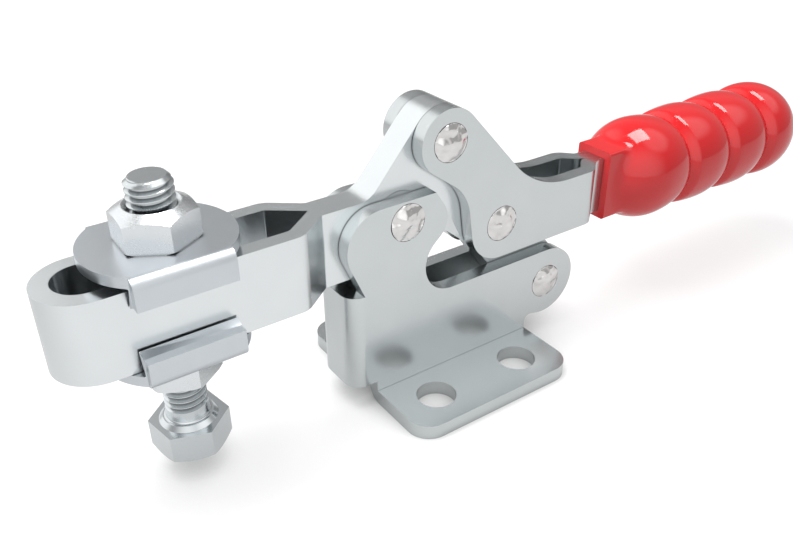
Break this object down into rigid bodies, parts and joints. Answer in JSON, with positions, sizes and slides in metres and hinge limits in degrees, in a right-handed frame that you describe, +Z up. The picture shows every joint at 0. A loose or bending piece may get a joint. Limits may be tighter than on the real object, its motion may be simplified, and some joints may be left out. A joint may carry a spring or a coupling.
{
  "type": "toggle clamp",
  "caption": "Horizontal toggle clamp with a slotted U-bar arm, a flanged base, a hex-head spindle and a moulded four-lobe grip.",
  "frame": {"origin": "centre of the four base holes, on the underside of the base flanges", "axes": "+X from the spindle towards the grip, +Y across the clamp, +Z up"},
  "size_m": [0.1953, 0.0452, 0.0612],
  "materials": {
    "sheet_steel": "zinc plated, satin",
    "rivet_steel": "zinc plated, peened",
    "spindle_steel": "zinc plated, cold formed",
    "washer_steel": "zinc plated, pressed",
    "grip_plastic": "moulded, glossy"
  },
  "bodies": {
    "base": {"base_bracket": "sheet_steel", "arm_rivet": "rivet_steel", "rear_rivet": "rivet_steel", "arm_bush": "rivet_steel", "rear_bush": "rivet_steel"},
    "arm": {"clamping_arm": "sheet_steel"},
    "handle": {"handle_plate_near": "sheet_steel", "handle_plate_far": "sheet_steel", "handle_grip": "grip_plastic", "handle_rivet": "rivet_steel", "link_rivet": "rivet_steel", "handle_bush": "rivet_steel"},
    "link": {"link_plate_near": "sheet_steel", "link_plate_far": "sheet_steel", "link_bush": "rivet_steel"},
    "carrier": {"upper_washer": "washer_steel", "lower_washer": "washer_steel", "upper_nut": "spindle_steel", "lower_nut": "spindle_steel"},
    "spindle": {"spindle_bolt": "spindle_steel"}
  },
  "joints": [
    {"name": "arm_open", "type": "hinge", "parent": "base", "child": "arm", "pos_m": [-0.0125, 0, 0.0405], "axis": [0, 1, 0], "range_deg": [0, 90]},
    {"name": "handle_lift", "type": "hinge", "parent": "arm", "child": "handle", "pos_m": [-0.0025, 0, 0.0544], "axis": [0, -1, 0], "range_deg": [0, 163.34]},
    {"name": "link_swing", "type": "hinge", "parent": "base", "child": "link", "pos_m": [0.026, 0, 0.0139], "axis": [0, 1, 0], "range_deg": [0, 36.51]},
    {"name": "spindle_slide", "type": "slide", "parent": "arm", "child": "carrier", "axis": [1, 0, 0], "range_m": [-0.012, 0.015]},
    {"name": "spindle_height", "type": "slide", "parent": "carrier", "child": "spindle", "axis": [0, 0, 1], "range_m": [-0.004, 0.0075]}
  ],
  "couplings": [
    {"joint": "handle_lift", "follows": "arm_open", "ratio": 1.8148},
    {"joint": "link_swing", "follows": "arm_open", "ratio": 0.40566}
  ]
}
